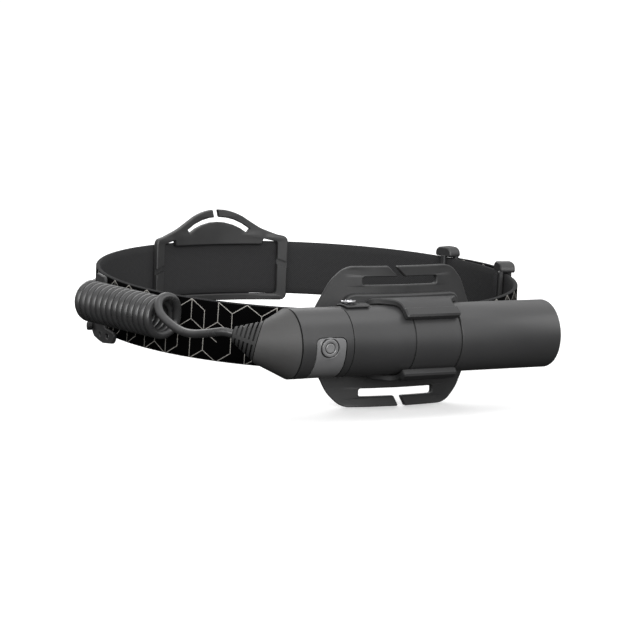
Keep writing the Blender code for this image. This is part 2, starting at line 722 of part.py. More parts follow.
def front_bracket():
    low, high = BRACKET_LOW, BRACKET_HIGH
    side = BRACKET_HALF - 5.2
    tooth = 23.4
    window = rounded([(-side, low + 3.0, 1.5), (side, low + 3.0, 1.5), (side, high - 2.4, 1.0),
                      (tooth + 0.6, high - 0.9, 0.6), (tooth, high - 3.6, 0.6), (-tooth, high - 3.6, 0.6),
                      (-tooth - 0.6, high - 0.9, 0.6), (-side, high - 2.4, 1.0)], 3)
    slot = arc_slot(16.0, high + 2.8, 5.4, 2.3)
    outer = -STRAP_OUT - GAP
    made = finish("front_bracket", slab(
        bracket_outline(low, high), [window, slot],
        outer - BRACKET_THICK, outer, 0.4, on_front, 12.0), PLASTIC)
    slit = slit_outline(ARCH_SLIT_X, high + ARCH_SLIT_LOW, high + ARCH_RISE + 2, -1.4)
    cutter = finish("arch_slit", slab([Vector(point) for point in slit], [],
                                      outer - BRACKET_THICK - 2, outer + 2, 0.01, on_front), PLASTIC)
    combine(made, cutter, "DIFFERENCE")
    for side, middle in SIDE_SLITS:
        x = side * BRACKET_HALF
        points = [(x - 7, middle + side * 2.3 - 1.45), (x + 7, middle - side * 2.3 - 1.45),
                  (x + 7, middle - side * 2.3 + 1.45), (x - 7, middle + side * 2.3 + 1.45)]
        cutter = finish("side_slit_" + str(side), slab(
            [Vector(point) for point in points], [], outer - BRACKET_THICK - 2, outer - SLIT_WEB, 0.01,
            on_front), PLASTIC)
        combine(made, cutter, "DIFFERENCE")


LAMP_PIVOT = Vector((0, LAMP_Y, LAMP_Z))
LAMP = axes(LAMP_PIVOT, (0, 1, 0))


def lamp_base():
    """A plate over the strap, with two yoke arms."""
    outer = STRAP_OUT + GAP
    made = finish("lamp_base", slab(
        rounded([(-21, -13.4, 4), (21, -13.4, 4), (21, 12.4, 4), (-21, 12.4, 4)]), [],
        outer, outer + BASE_THICK, 0.6, on_front, 9.0), PLASTIC)
    for k, side in enumerate((-1, 1)):
        inner, outer_x = side * YOKE_INNER, side * YOKE_OUTER
        low_y = LOOP_DEPTH + STRAP_OUT + 1.6
        outline = rounded([(low_y, -7.5 + LAMP_Z, 1), (LAMP_Y + 4.6, -4.6 + LAMP_Z, 4.4),
                           (LAMP_Y + 4.6, 4.6 + LAMP_Z, 4.4), (low_y, 7.5 + LAMP_Z, 1)], 5)
        hole = round_outline(LAMP_Y, LAMP_Z, 3.6, 18)
        arm = slab(outline, [hole], min(inner, outer_x), max(inner, outer_x), 0.5,
                   lambda x, y, z: Vector((z, x, y)))
        combine(made, finish("yoke_arm_" + str(k), arm, PLASTIC), "UNION")


def lamp_head():
    """A short barrel with a round back, so that it clears its base as it tilts."""
    back = []
    for k in range(7):
        angle = math.radians(90 * k / 6)
        back.append((-LAMP_R * math.cos(angle), LAMP_R * math.sin(angle)))
    wall = 1.6
    profile = [(-LAMP_R, 0), *back[1:], (LAMP_LENGTH - 2.8, LAMP_R), (LAMP_LENGTH - 2.8, LAMP_R - wall),
               (-1.0, LAMP_R - wall), (-5.0, LAMP_R - 4.4), (-5.0, 0)]
    shell = finish("lamp_shell", turned_cup(profile, LAMP, 32), SHELL, pivot=LAMP_PIVOT)
    button_hole = finish("lamp_button_hole", turned(
        disc(4, 20, 3.1, 0.01), axes(LAMP_PIVOT + Vector((0, 5, 0)), (0, 0, 1), (0, 1, 0)), 18), SHELL)
    combine(shell, button_hole, "DIFFERENCE")
    for k, side in enumerate((-1, 1)):
        hole = finish("pivot_hole_" + str(k), turned(
            disc(7, 20, 2.0, 0.01), axes(LAMP_PIVOT, (side, 0, 0)), 16), SHELL)
        combine(shell, hole, "DIFFERENCE")
    front = LAMP_LENGTH - 2.5
    finish("bezel", turned([
        (front, 9.0), (front, LAMP_R), (front + 2.2, LAMP_R), (front + 2.8, LAMP_R - 0.6),
        (front + 2.8, 10.2), (front + 1.6, 9.0)], LAMP, 36), ALUMINIUM, pivot=LAMP_PIVOT)
    finish("lens", turned([
        (front - 1.9, 0), (front - 1.9, 9.9), (front - 0.4, 9.9), (front - 0.4, 8.6),
        (front + 0.6, 8.0), (front + 1.5, 5.0), (front + 1.9, 0)], LAMP, 28), LENS, pivot=LAMP_PIVOT)
    finish("reflector", turned([
        (0.9, 2.4), (0.9, 3.2), (4.0, 6.6), (10.4, 9.6), (12.0, 9.9), (12.0, 9.3), (10.4, 8.9),
        (4.4, 5.9)], LAMP, 28), CHROME, pivot=LAMP_PIVOT)
    finish("led_board", turned(disc(-1.2, 0.0, 6.8), LAMP, 20), BOARD, pivot=LAMP_PIVOT)
    emitter = []
    for k in range(4):
        angle = math.radians(90 - 90 * k / 3)
        emitter.append((0.3 + 1.6 * math.cos(angle), 1.6 * math.sin(angle)))
    finish("led", turned([(0.3, 0), *emitter[:-1], (1.9, 0)], LAMP, 12), EMITTER, pivot=LAMP_PIVOT)
    finish("heat_sink", turned(disc(-4.6, -1.5, 7.2), LAMP, 20), ALUMINIUM, pivot=LAMP_PIVOT)
    button = axes(LAMP_PIVOT + Vector((0, 5, 0)), (0, 0, 1), (0, 1, 0))
    finish("lamp_button", turned([
        (10.7, 0), (10.7, 2.8), (12.3, 2.8), (12.6, 2.4), (12.6, 0)], button, 18),
        RUBBER, pivot=LAMP_PIVOT + Vector((0, 5, 10.7)))
    finish("pivot_pin", turned([
        (11.0, 0), (11.0, 1.7), (12.2, 1.7), (12.2, 3.2), (16.0, 3.2), (16.4, 2.8), (16.4, 0),
    ], axes(LAMP_PIVOT, (1, 0, 0)), 18), STEEL, pivot=LAMP_PIVOT)
    finish("cord_gland", turned([
        (11.0, 0), (11.0, 1.7), (12.2, 1.7), (12.2, 3.2), (17.0, 3.2), (20.5, 2.6), (20.5, 0),
    ], axes(LAMP_PIVOT, (-1, 0, 0)), 18), RUBBER, pivot=LAMP_PIVOT)


# ---------------------------------------------------------------- cord and its clip

SIDE_TURN = math.radians(-95.0)
SIDE_THICK = 1.5


def on_side(x, y, offset):
    """The side bracket's frame on the left of the strap; x runs rearwards."""
    return on_loop(length_at(SIDE_TURN) + x, y, offset)


def side_bracket():
    """A frame on the strap inside the coil, with a lobe below that has a pin and two eyelets."""
    outline = rounded([(-24, -11.5, 1.1), (-20, -13.6, 4), (-10, -16.2, 5), (3, -16.4, 5), (14.5, -14.6, 3),
                       (16, -10, 1.5), (4.6, -9.4, 2), (4.6, 12.2, 1.5), (-8, 12.2, 2), (-8, -9.4, 2),
                       (-22, -9.4, 1.2)], 4)
    window = box_outline(-4.8, 1.0, -7.0, 8.8, 1.5)
    eyelet = round_outline(0.0, -13.2, 0.9, 12)
    slot = box_outline(7.0, 10.0, -13.4, -11.6, 0.8)
    low = STRAP_OUT + GAP
    finish("side_bracket", slab(
        outline, [window, eyelet, slot], low, low + SIDE_THICK, 0.35, on_side, 9.0), PLASTIC)
    foot = on_side(-12.4, -12.0, low + SIDE_THICK + GAP)
    out = on_side(-12.4, -12.0, 6.0) - on_side(-12.4, -12.0, 3.0)
    finish("side_pin", turned(disc(0, 2.4, 1.9, 0.4), axes(foot, out), 16), PLASTIC)


def coil_axis(part):
    """The coil's straight middle line, from its rear end (0) to its front end (1)."""
    return COIL_REAR.lerp(COIL_FRONT, part)


def cords():
    cord_tube("cord_coil", [coil_axis(k / 4) for k in range(5)], COIL_R, RUBBER, 6)
    start = RELIEF @ Vector((RELIEF_LENGTH + 2 * GAP, 0, 0))
    near = coil_axis(0)
    out = (near - coil_axis(1)).normalized()
    side = Vector((0, 0, 1)).cross(out).normalized()
    ring = COIL_R - CORD_R
    turns = ((47.6, -7.9, 2.3), (41.6, -10.0, 1.0), (34.1, -11.1, -0.4), (27.3, -11.0, -0.6),
             (21.2, -10.5, 0.4), (14.7, -9.6, 2.2), (10.2, -8.7, 4.2), (6.9, -7.0, 6.7), (5.0, -4.3, 8.7),
             (4.1, -0.4, 9.3), (3.4, 3.8, 7.9), (2.9, 6.35, 4.5), (2.6, ring, 0.0))
    route = [start]
    route += [near + out * along + side * across + Vector((0, 0, up)) for along, across, up in turns]
    cord_tube("cord_rear", smooth_path(route, 6.0), CORD_R, RUBBER)
    far = coil_axis(1)
    gland = LAMP_PIVOT + Vector((-20.7 - GAP, 0, 0))
    route = [far - out * (GAP + 0.6) + Vector((0, 0, 4.0)), far - out * 8.0 + Vector((2.0, 0, 2.5))]
    for turn, gap in ((-110, 4.2), (-122, 2.2), (-134, 1.8), (-144, 1.8)):
        length = length_at(math.radians(turn))
        route.append(on_loop(length, 0, STRAP_OUT + CORD_R + gap))
    route += [gland + Vector((-20.0, -9.5, 0.6)), gland + Vector((-8.0, -1.4, 0.1)), gland]
    cord_tube("cord_front", smooth_path(route, 6.0), CORD_R, RUBBER)


# ---------------------------------------------------------------- assembly

battery_pack()
end_cap()
strain_relief()
rear_plate()
cradle()
strap()
buckle("slider_buckle", BUCKLE_1, ((-3.3, 1), (3.3, 1), (0.0, -1)), SLIDE_CENTRE)
buckle("fixed_buckle", BUCKLE_2, ((-3.3, -1), (3.3, 1)))
front_bracket()
lamp_base()
lamp_head()
side_bracket()
cords()
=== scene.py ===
"""A headband cap lamp: procedural looks for the CAD parts, a woven patterned strap and one coiled cord."""
import math

import bpy
import numpy as np
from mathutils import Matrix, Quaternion, Vector


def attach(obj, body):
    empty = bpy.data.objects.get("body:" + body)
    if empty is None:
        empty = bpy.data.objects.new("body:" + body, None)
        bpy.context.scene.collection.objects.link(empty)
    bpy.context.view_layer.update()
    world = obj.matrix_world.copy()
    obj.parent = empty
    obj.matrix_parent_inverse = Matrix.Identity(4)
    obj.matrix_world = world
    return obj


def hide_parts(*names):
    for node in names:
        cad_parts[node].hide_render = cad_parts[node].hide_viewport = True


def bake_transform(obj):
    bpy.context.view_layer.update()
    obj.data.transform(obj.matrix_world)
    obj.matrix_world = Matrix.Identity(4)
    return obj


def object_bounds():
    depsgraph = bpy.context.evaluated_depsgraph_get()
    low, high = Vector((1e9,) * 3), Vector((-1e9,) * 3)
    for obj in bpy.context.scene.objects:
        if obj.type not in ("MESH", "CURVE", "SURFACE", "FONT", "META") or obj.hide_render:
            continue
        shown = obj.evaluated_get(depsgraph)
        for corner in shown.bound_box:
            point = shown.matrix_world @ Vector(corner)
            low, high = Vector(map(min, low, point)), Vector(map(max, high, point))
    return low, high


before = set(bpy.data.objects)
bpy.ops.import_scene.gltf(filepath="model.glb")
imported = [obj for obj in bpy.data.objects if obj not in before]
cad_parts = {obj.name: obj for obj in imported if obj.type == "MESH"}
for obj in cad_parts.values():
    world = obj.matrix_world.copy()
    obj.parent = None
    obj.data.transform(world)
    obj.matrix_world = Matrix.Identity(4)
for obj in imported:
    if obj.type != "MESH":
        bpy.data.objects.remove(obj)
cad_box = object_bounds()
scene = bpy.context.scene
MM = 0.001

# ---------------------------------------------------------------- camera

TARGET = Vector((7.7, 0.0, -5.64)) * MM
AZIMUTH, ELEVATION, ROLL = math.radians(27.2), math.radians(8.3), math.radians(2.14)
DISTANCE = 1.053
LENS, SENSOR = 137.03, 36.0


def make_camera():
    back = Vector((-math.sin(AZIMUTH) * math.cos(ELEVATION),
                   -math.cos(AZIMUTH) * math.cos(ELEVATION), math.sin(ELEVATION)))
    data = bpy.data.cameras.new("camera")
    data.lens, data.sensor_width = LENS, SENSOR
    data.clip_start, data.clip_end = 0.05, 60.0
    camera = bpy.data.objects.new("camera", data)
    scene.collection.objects.link(camera)
    level = (-back).to_track_quat("-Z", "Y")
    camera.rotation_mode = "QUATERNION"
    camera.rotation_quaternion = level @ Quaternion((0, 0, 1), ROLL)
    camera.location = TARGET + back * DISTANCE
    scene.camera = camera


make_camera()

# ---------------------------------------------------------------- the strap's loop, as in the CAD, in mm

LOOP_LEFT, LOOP_RIGHT, LOOP_DEPTH, LOOP_RISE = 87.6, 97.6, 89.6, 0.036
STRAP_WIDTH, STRAP_THICK = 25.0, 1.8
STRAP_OUT = STRAP_THICK / 2
BUCKLE_1, BUCKLE_2 = math.radians(109.0), math.radians(80.5)
BAR_SPACING = 3.3  # of a buckle's bars from its middle
BAR_MIDDLE = 2.3  # of a bar's thickness, from the strap's middle
GAP = 0.3
STRAP_SPACING = 1.6  # between the webbing's cross-sections
PATH_STEPS = 24  # of a smooth path between two of its points


def loop_point(turn):
    reach = LOOP_RIGHT if math.sin(turn) > 0 else LOOP_LEFT
    return Vector((reach * math.sin(turn), -LOOP_DEPTH * math.cos(turn), 0))


TURNS = np.radians(np.arange(-360, 480.5, 0.5))
PLACES = np.array([loop_point(turn) for turn in TURNS])
LENGTHS = np.concatenate([[0], np.cumsum(np.linalg.norm(np.diff(PLACES, axis=0), axis=1))])
LENGTHS -= np.interp(0, TURNS, LENGTHS)


def length_at(turn):
    return float(np.interp(turn, TURNS, LENGTHS))


def on_loop(length, height, offset):
    """`length` along the strap from its rear, `height` from its middle, `offset` outwards, in mm."""
    turn = float(np.interp(length, LENGTHS, TURNS))
    reach = LOOP_RIGHT if math.sin(turn) > 0 else LOOP_LEFT
    out = Vector((LOOP_DEPTH * math.sin(turn), -reach * math.cos(turn), 0)).normalized()
    point = loop_point(turn) + out * offset
    point.z = height + LOOP_RISE * point.y
    return point


def smooth_path(points, spacing):
    """A Catmull-Rom curve through the points, at an even spacing."""
    points = [Vector(point) for point in points]
    ends = [points[0] * 2 - points[1], *points, points[-1] * 2 - points[-2]]
    fine = []
    for before, a, b, after in zip(ends, ends[1:], ends[2:], ends[3:]):
        for k in range(PATH_STEPS):
            t = k / PATH_STEPS
            fine.append(0.5 * (2 * a + (b - before) * t + (2 * before - 5 * a + 4 * b - after) * t ** 2
                               + (3 * a - before - 3 * b + after) * t ** 3))
    fine.append(points[-1])
    fine = np.array(fine)
    along = np.concatenate([[0], np.cumsum(np.linalg.norm(np.diff(fine, axis=0), axis=1))])
    places = np.linspace(0, along[-1], max(2, round(along[-1] / spacing) + 1))
    return [Vector([float(np.interp(place, along, fine[:, axis])) for axis in range(3)])
            for place in places]


# ---------------------------------------------------------------- cord

CORD_R, COIL_R = 1.7, 8.7
COIL_REAR, COIL_FRONT = Vector((-87.5, -50.7, 2.9)), Vector((-100.4, -6.5, 3.8))
COIL_TURNS = 13
COIL_FIRST, COIL_LAST = 0.25, COIL_TURNS + 0.9  # in turns, where the helix starts and ends
COIL_LEAD, COIL_EXTRA = 2.0, 1.6  # how far behind the coil's rear the helix starts, and its extra length
COIL_STEPS = 16  # in a turn
CORD_SPACING = 1.0
CORD_OFF_STRAP = 1.75  # from the webbing's face to the cord's middle, where the two touch
CAP_TIP = Vector((-59.4 - 10.5, -110.0 + 3.7, 0.4 + 0.9))
CORD_YAW, CORD_PITCH = math.radians(32.0), math.radians(13.0)
CORD_OUT = Vector((-math.cos(CORD_YAW) * math.cos(CORD_PITCH),
                   math.sin(CORD_YAW) * math.cos(CORD_PITCH), math.sin(CORD_PITCH)))
RELIEF_LENGTH = 10.0
LAMP_PIVOT = Vector((0, 108.5, 0.8))


def cord_route():
    """From the strain relief in an open sweep to the coil, its turns, then along the strap to the lamp."""
    start = CAP_TIP + CORD_OUT * (RELIEF_LENGTH + 2 * GAP)
    out = (COIL_REAR - COIL_FRONT).normalized()
    side = Vector((0, 0, 1)).cross(out).normalized()
    up = out.cross(side)
    ring = COIL_R - CORD_R
    # Each is (along, across, rise) from the coil's rear end
    turns = ((47.6, -7.9, 2.3), (41.6, -10.0, 1.0), (34.1, -11.1, -0.4), (27.3, -11.0, -0.6),
             (21.2, -10.5, 0.4), (14.7, -9.6, 2.2), (10.2, -8.7, 4.2), (6.9, -7.0, 6.7), (5.0, -4.3, 8.7),
             (4.1, -0.4, 9.3), (3.4, 3.8, 7.9), (2.7, 6.35, 4.5))
    route = [start]
    route += [COIL_REAR + out * along + side * across + Vector((0, 0, rise))
              for along, across, rise in turns]
    steps = round((COIL_LAST - COIL_FIRST) * COIL_STEPS)
    length = (COIL_REAR - COIL_FRONT).length
    for k in range(steps + 1):
        turn = COIL_FIRST + (COIL_LAST - COIL_FIRST) * k / steps
        angle = math.tau * turn
        along = COIL_LEAD - (length + COIL_EXTRA) * (turn - COIL_FIRST) / (COIL_LAST - COIL_FIRST)
        route.append(COIL_REAR + out * along
                     + side * ring * math.sin(angle) + up * ring * math.cos(angle))
    route += [COIL_FRONT - out * along + side * across + up * rise
              for along, across, rise in ((1.2, 0.3, 7.0), (4.6, 4.2, 5.9), (10.0, 6.6, 3.8))]
    for turn, gap in ((-110, 4.2), (-122, 2.2), (-134, 1.8), (-144, 1.8)):
        route.append(on_loop(length_at(math.radians(turn)), 0, STRAP_OUT + CORD_OFF_STRAP + gap))
    gland = LAMP_PIVOT + Vector((-21.0, 0, 0))
    route += [gland + Vector((-20.0, -9.5, 0.6)), gland + Vector((-8.0, -1.4, 0.1)), gland]
    return smooth_path(route, CORD_SPACING)


def make_cord():
    points = [point * MM for point in cord_route()]
    curve = bpy.data.curves.new("cord", "CURVE")
    curve.dimensions = "3D"
    curve.bevel_depth = 1.0  # times each point's radius, which the curve's box grows by
    curve.bevel_resolution = 5
    curve.use_fill_caps = True
    curve.resolution_u = 1
    spline = curve.splines.new("POLY")
    spline.points.add(len(points) - 1)
    for vert, point in zip(spline.points, points):
        vert.co = (*point, 1)
        vert.radius = CORD_R * MM
    spline.use_smooth = True
    cord = bpy.data.objects.new("cord", curve)
    scene.collection.objects.link(cord)
    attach(cord, "headband")
    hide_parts("cord_rear", "cord_coil", "cord_front")
    return cord


cord = make_cord()

# ---------------------------------------------------------------- materials


class Look:
    """One node material: its colour, roughness and bumps are built up by calls."""

    def __init__(self, name, colour, rough, metallic=0.0, **sockets):
        self.material = bpy.data.materials.new(name)
        self.material.use_nodes = True
        self.tree = self.material.node_tree
        self.shader = self.tree.nodes["Principled BSDF"]
        self.shader.inputs["Base Color"].default_value = (*colour, 1)
        self.shader.inputs["Roughness"].default_value = rough
        self.shader.inputs["Metallic"].default_value = metallic
        for socket, value in sockets.items():
            self.shader.inputs[socket.replace("_", " ")].default_value = value
        self.colour, self.rough, self.normal = (*colour, 1), rough, None
        self.place = self.node("ShaderNodeTexCoord").outputs["Object"]

    def node(self, kind, inputs=(), **settings):
        made = self.tree.nodes.new(kind)
        for key, value in settings.items():
            setattr(made, key, value)
        for key, value in dict(inputs).items():
            self.put(made.inputs[key], value)
        return made

    def put(self, socket, value):
        if isinstance(value, bpy.types.NodeSocket):
            self.tree.links.new(value, socket)
        else:
            socket.default_value = value

    def math(self, operation, *values):
        return self.node("ShaderNodeMath", enumerate(values), operation=operation).outputs[0]

    def scaled(self, scale):
        return self.node("ShaderNodeMapping", {"Vector": self.place, "Scale": scale}).outputs[0]

    def noise(self, scale, detail=2.0, rough=0.5, stretch=None):
        """Noise of about 1 mm where the scale is 1000, its place multiplied along each axis by stretch."""
        place = self.scaled(stretch) if stretch else self.place
        return self.node("ShaderNodeTexNoise", {
            "Vector": place, "Scale": scale, "Detail": detail, "Roughness": rough}).outputs["Fac"]

    def ranged(self, value, low, high, start=0.0, end=1.0):
        return self.node("ShaderNodeMapRange", {
            "Value": value, "From Min": low, "From Max": high, "To Min": start, "To Max": end}).outputs[0]

    def tint(self, factor, colour):
        """Mixes another colour in by the factor."""
        mix = self.node("ShaderNodeMix", data_type="RGBA")
        self.put(mix.inputs[0], factor)
        self.put(mix.inputs[6], self.colour)
        self.put(mix.inputs[7], (*colour, 1))
        self.colour = mix.outputs[2]
        self.put(self.shader.inputs["Base Color"], self.colour)
        return self

    def roughen(self, value, low, high):
        """Adds from low to high to the roughness as the value goes from 0.3 to 0.7."""
        self.rough = self.math("ADD", self.rough, self.ranged(value, 0.3, 0.7, low, high))
        self.put(self.shader.inputs["Roughness"], self.rough)
        return self

    def bump(self, height, distance, strength):
        inputs = {"Height": height, "Distance": distance, "Strength": strength}
        if self.normal:
            inputs["Normal"] = self.normal
        self.normal = self.node("ShaderNodeBump", inputs).outputs[0]
        self.put(self.shader.inputs["Normal"], self.normal)
        return self


def moulded(name, colour, rough, grain=0.00004):
    """Plastic with a spark-eroded grain, faint clouding and rubbed patches."""
    look = Look(name, colour, rough)
    patches = look.noise(60.0, 4.0, 0.6)
    light = tuple(1.5 * part + 0.004 for part in colour)
    look.tint(look.ranged(patches, 0.35, 0.8, 0.0, 0.5), light)
    fine = look.noise(2600.0, 2.0, 0.6)
    look.roughen(patches, -0.05, 0.07).roughen(fine, -0.04, 0.04)
    look.bump(fine, grain, 0.5)
    look.bump(look.noise(240.0, 1.0), grain, 0.15)
    return look.material


def metal(name, colour, rough, stretch, scratch=0.00001):
    """Metal with fine lines left by turning or brushing, and small scratches."""
    look = Look(name, colour, rough, metallic=1.0)
    lines = look.noise(1.0, 3.0, 0.7, stretch)
    clouds = look.noise(180.0, 3.0)
    look.tint(look.ranged(clouds, 0.3, 0.8, 0.0, 0.3), tuple(0.6 * part for part in colour))
    look.roughen(lines, -0.05, 0.08).roughen(clouds, -0.03, 0.05)
    look.bump(lines, scratch, 0.6)
    return look.material


def anodised(name, colour, rough):
    """Black anodised aluminium: a satin skin over faint turning lines."""
    look = Look(name, colour, rough)
    lines = look.noise(1.0, 2.0, 0.6, (3800.0, 40.0, 40.0))
    patches = look.noise(34.0, 4.0, 0.55)
    skin = look.noise(5200.0, 1.0)
    look.tint(look.ranged(patches, 0.35, 0.75, 0.0, 0.35), tuple(1.4 * part for part in colour))
    look.roughen(patches, -0.04, 0.05).roughen(lines, -0.02, 0.03)
    look.bump(lines, 0.000006, 0.35).bump(skin, 0.00001, 0.25)
    return look.material


def rubbery(name, colour, rough):
    """Moulded rubber: matt, a little dusty, with a soft sheen."""
    look = Look(name, colour, rough)
    dust = look.noise(90.0, 5.0, 0.65)
    pores = look.noise(3400.0, 1.0)
    look.tint(look.ranged(dust, 0.45, 0.85, 0.0, 0.5), tuple(2.0 * part + 0.01 for part in colour))
    look.roughen(dust, -0.03, 0.08)
    look.bump(pores, 0.00002, 0.4)
    return look.material


SHELL = anodised("shell_black_anodised", (0.031, 0.031, 0.0315), 0.33)
PLASTIC = moulded("plastic_black_grained", (0.019, 0.019, 0.0195), 0.48)
GREY_PLASTIC = moulded("plastic_dark_grey", (0.017, 0.017, 0.0173), 0.50)
SOFT = moulded("plastic_matt_cap", (0.042, 0.0415, 0.041), 0.58, grain=0.00003)
RUBBER = rubbery("rubber_black", (0.022, 0.022, 0.022), 0.6)
JACKET = rubbery("cord_jacket", (0.026, 0.026, 0.0265), 0.26)
CHROME = metal("chrome_polished", (0.82, 0.82, 0.84), 0.10, (900.0, 900.0, 60.0), 0.000003)
STEEL = metal("steel_brushed", (0.58, 0.58, 0.60), 0.30, (1800.0, 90.0, 90.0))
ALUMINIUM = metal("aluminium_turned", (0.72, 0.73, 0.74), 0.28, (90.0, 2600.0, 90.0))


def smoked(name, colour):
    """Smoked polycarbonate with a clear coat and a fine pebble."""
    look = Look(name, colour, 0.34, Coat_Weight=0.35, Coat_Roughness=0.22)
    clouds = look.noise(70.0, 3.0)
    look.tint(look.ranged(clouds, 0.3, 0.8, 0.0, 0.3), tuple(1.3 * part for part in colour))
    look.roughen(clouds, -0.04, 0.05)
    look.bump(look.noise(1900.0, 1.0), 0.000012, 0.35)
    return look.material


def board():
    """Green solder mask over faint copper tracks."""
    look = Look("board_solder_mask", (0.02, 0.13, 0.05), 0.35)
    place = look.scaled((900.0, 900.0, 900.0))
    tracks = look.node("ShaderNodeTexBrick", {
        "Vector": place, "Scale": 0.5, "Mortar Size": 0.06}).outputs["Fac"]
    look.tint(tracks, (0.05, 0.24, 0.09))
    look.roughen(look.noise(400.0), -0.04, 0.06)
    look.bump(tracks, 0.00003, 0.5)
    return look.material


def sleeve():
    """The cell's shrink sleeve, with a lengthways seam's soft ripples."""
    look = Look("cell_sleeve", (0.05, 0.14, 0.30), 0.35)
    ripples = look.noise(1.0, 2.0, 0.5, (30.0, 500.0, 500.0))
    look.tint(look.ranged(ripples, 0.4, 0.8, 0.0, 0.5), (0.03, 0.10, 0.22))
    look.roughen(ripples, -0.05, 0.06)
    look.bump(ripples, 0.00003, 0.4)
    return look.material


def phosphor():
    look = Look("led_phosphor_dome", (0.85, 0.68, 0.16), 0.3)
    grains = look.noise(4200.0, 2.0)
    look.tint(look.ranged(grains, 0.3, 0.8, 0.0, 0.6), (0.95, 0.84, 0.35))
    look.roughen(grains, -0.03, 0.06)
    look.bump(grains, 0.00001, 0.3)
    return look.material


def clear():
    """Lens glass with a faint ripple and a few dust specks."""
    look = Look("lens_clear", (0.93, 0.95, 0.96), 0.03, Transmission_Weight=0.95, IOR=1.5)
    dust = look.noise(1400.0, 3.0, 0.7)
    look.tint(look.ranged(dust, 0.72, 0.8, 0.0, 0.5), (0.7, 0.7, 0.7))
    look.roughen(dust, 0.0, 0.03)
    look.bump(look.noise(300.0, 1.0), 0.000004, 0.2)
    return look.material


# ---------------------------------------------------------------- woven strap

CELL_HIGH, CELL_WIDE = 8.2 * MM, 6.126 * MM  # an edge of the printed blocks, and half a block's width
LINE = 0.32 * MM
PATTERN_BACK = 92.8  # from the loop's closing point to a column of corners
PATTERN_START, PATTERN_LIFT = (length_at(math.tau) - PATTERN_BACK) * MM, -0.3 * MM
LEANING_SEED, UPRIGHT_SEED = 3.7, 11.3
MISSING = 0.2  # share of the printed lines that are left out
YARN = 0.55 * MM
OUTER_FACE, INNER_FACE, EDGE = 0, 1, 2  # the webbing's material slots


def woven(name, colour, shine, printed=False):
    """Fine twill in the strap's own (length, height), with or without the printed block lines."""
    look = Look(name, colour, 0.85, Specular_IOR_Level=shine)
    place = look.node("ShaderNodeUVMap", uv_map="place").outputs[0]
    parts = look.node("ShaderNodeSeparateXYZ", {0: place})
    along, high = parts.outputs[0], parts.outputs[1]
    twill = look.math("MULTIPLY", look.math("ADD", along, high), math.tau / (2 * YARN))
    diagonal = look.math("SINE", twill)
    warp = look.math("SINE", look.math("MULTIPLY", high, math.tau / YARN))
    weave = look.math("MULTIPLY_ADD", warp, 0.45, diagonal)
    look.tint(look.ranged(weave, -1.4, 1.4, 0.0, 0.55), tuple(2.8 * part for part in colour))
    fuzz = look.noise(700.0, 4.0, 0.7)
    look.roughen(fuzz, -0.05, 0.08)
    look.bump(weave, 0.00006, 0.6).bump(fuzz, 0.00005, 0.3)
    if printed:
        look.tint(block_lines(look, along, high), (0.29, 0.28, 0.26))
    return look.material


def block_lines(look, along, high):
    """1 on the thin lines of a tumbling-block pattern, of which some are left out."""
    across = look.math("DIVIDE", look.math("SUBTRACT", along, PATTERN_START), CELL_WIDE)
    rise = look.math("DIVIDE", look.math("SUBTRACT", high, PATTERN_LIFT), CELL_HIGH)
    column = look.math("PINGPONG", across, 1.0)  # 0 at even columns, 1 at odd ones
    wrapped = look.math("PINGPONG", rise, 1.5)  # 0 at a column's six-way corner
    slope = look.math("MULTIPLY", column, 0.5)
    first = look.math("ABSOLUTE", look.math("SUBTRACT", wrapped, slope))
    second = look.math("ABSOLUTE", look.math("ADD", look.math("SUBTRACT", 1.0, wrapped), slope))
    lean = math.cos(math.atan2(CELL_HIGH / 2, CELL_WIDE))
    leaning = look.math("MULTIPLY", look.math("MINIMUM", first, second), CELL_HIGH * lean)

    nearest = look.math("MINIMUM", column, look.math("SUBTRACT", 1.0, column))
    odd = look.math("GREATER_THAN", column, 0.5)
    # An even column's line runs one edge up and down from its corner, an odd one's from its own
    from_corner = look.math("ABSOLUTE", look.math("SUBTRACT", wrapped, look.math("MULTIPLY", odd, 1.5)))
    upright = look.math("ADD", look.math("MULTIPLY", nearest, CELL_WIDE),
                        look.math("GREATER_THAN", from_corner, 1.0))

    row = look.math("FLOOR", look.math("MULTIPLY", rise, 2.0))
    kept_leaning = keep(look, look.math("FLOOR", across), row, LEANING_SEED)
    half = look.math("MULTIPLY_ADD", odd, 0.5, rise)
    kept_upright = keep(look, look.math("ROUND", across), look.math("FLOOR", half), UPRIGHT_SEED)
    on_leaning = look.math("MULTIPLY", look.math("LESS_THAN", leaning, LINE / 2), kept_leaning)
    on_upright = look.math("MULTIPLY", look.math("LESS_THAN", upright, LINE / 2), kept_upright)
    return look.math("MAXIMUM", on_leaning, on_upright)


def keep(look, x, y, seed):
    """0 on the lines at this column and row that are left out, 1 on the others."""
    place = look.node("ShaderNodeCombineXYZ", {0: x, 1: y, 2: seed}).outputs[0]
    noise = look.node("ShaderNodeTexWhiteNoise", {"Vector": place}, noise_dimensions="3D")
    return look.math("GREATER_THAN", noise.outputs["Value"], MISSING)


PRINTED = woven("webbing_printed", (0.0008, 0.0008, 0.00085), 0.02, printed=True)
TWILL = woven("webbing_twill", (0.016, 0.016, 0.0165), 0.2)
SELVEDGE = woven("webbing_selvedge", (0.012, 0.012, 0.0125), 0.2)
EDGE_ROUND = 0.45  # of the webbing, in mm
FACE_STEPS, EDGE_STEPS = 8, 4


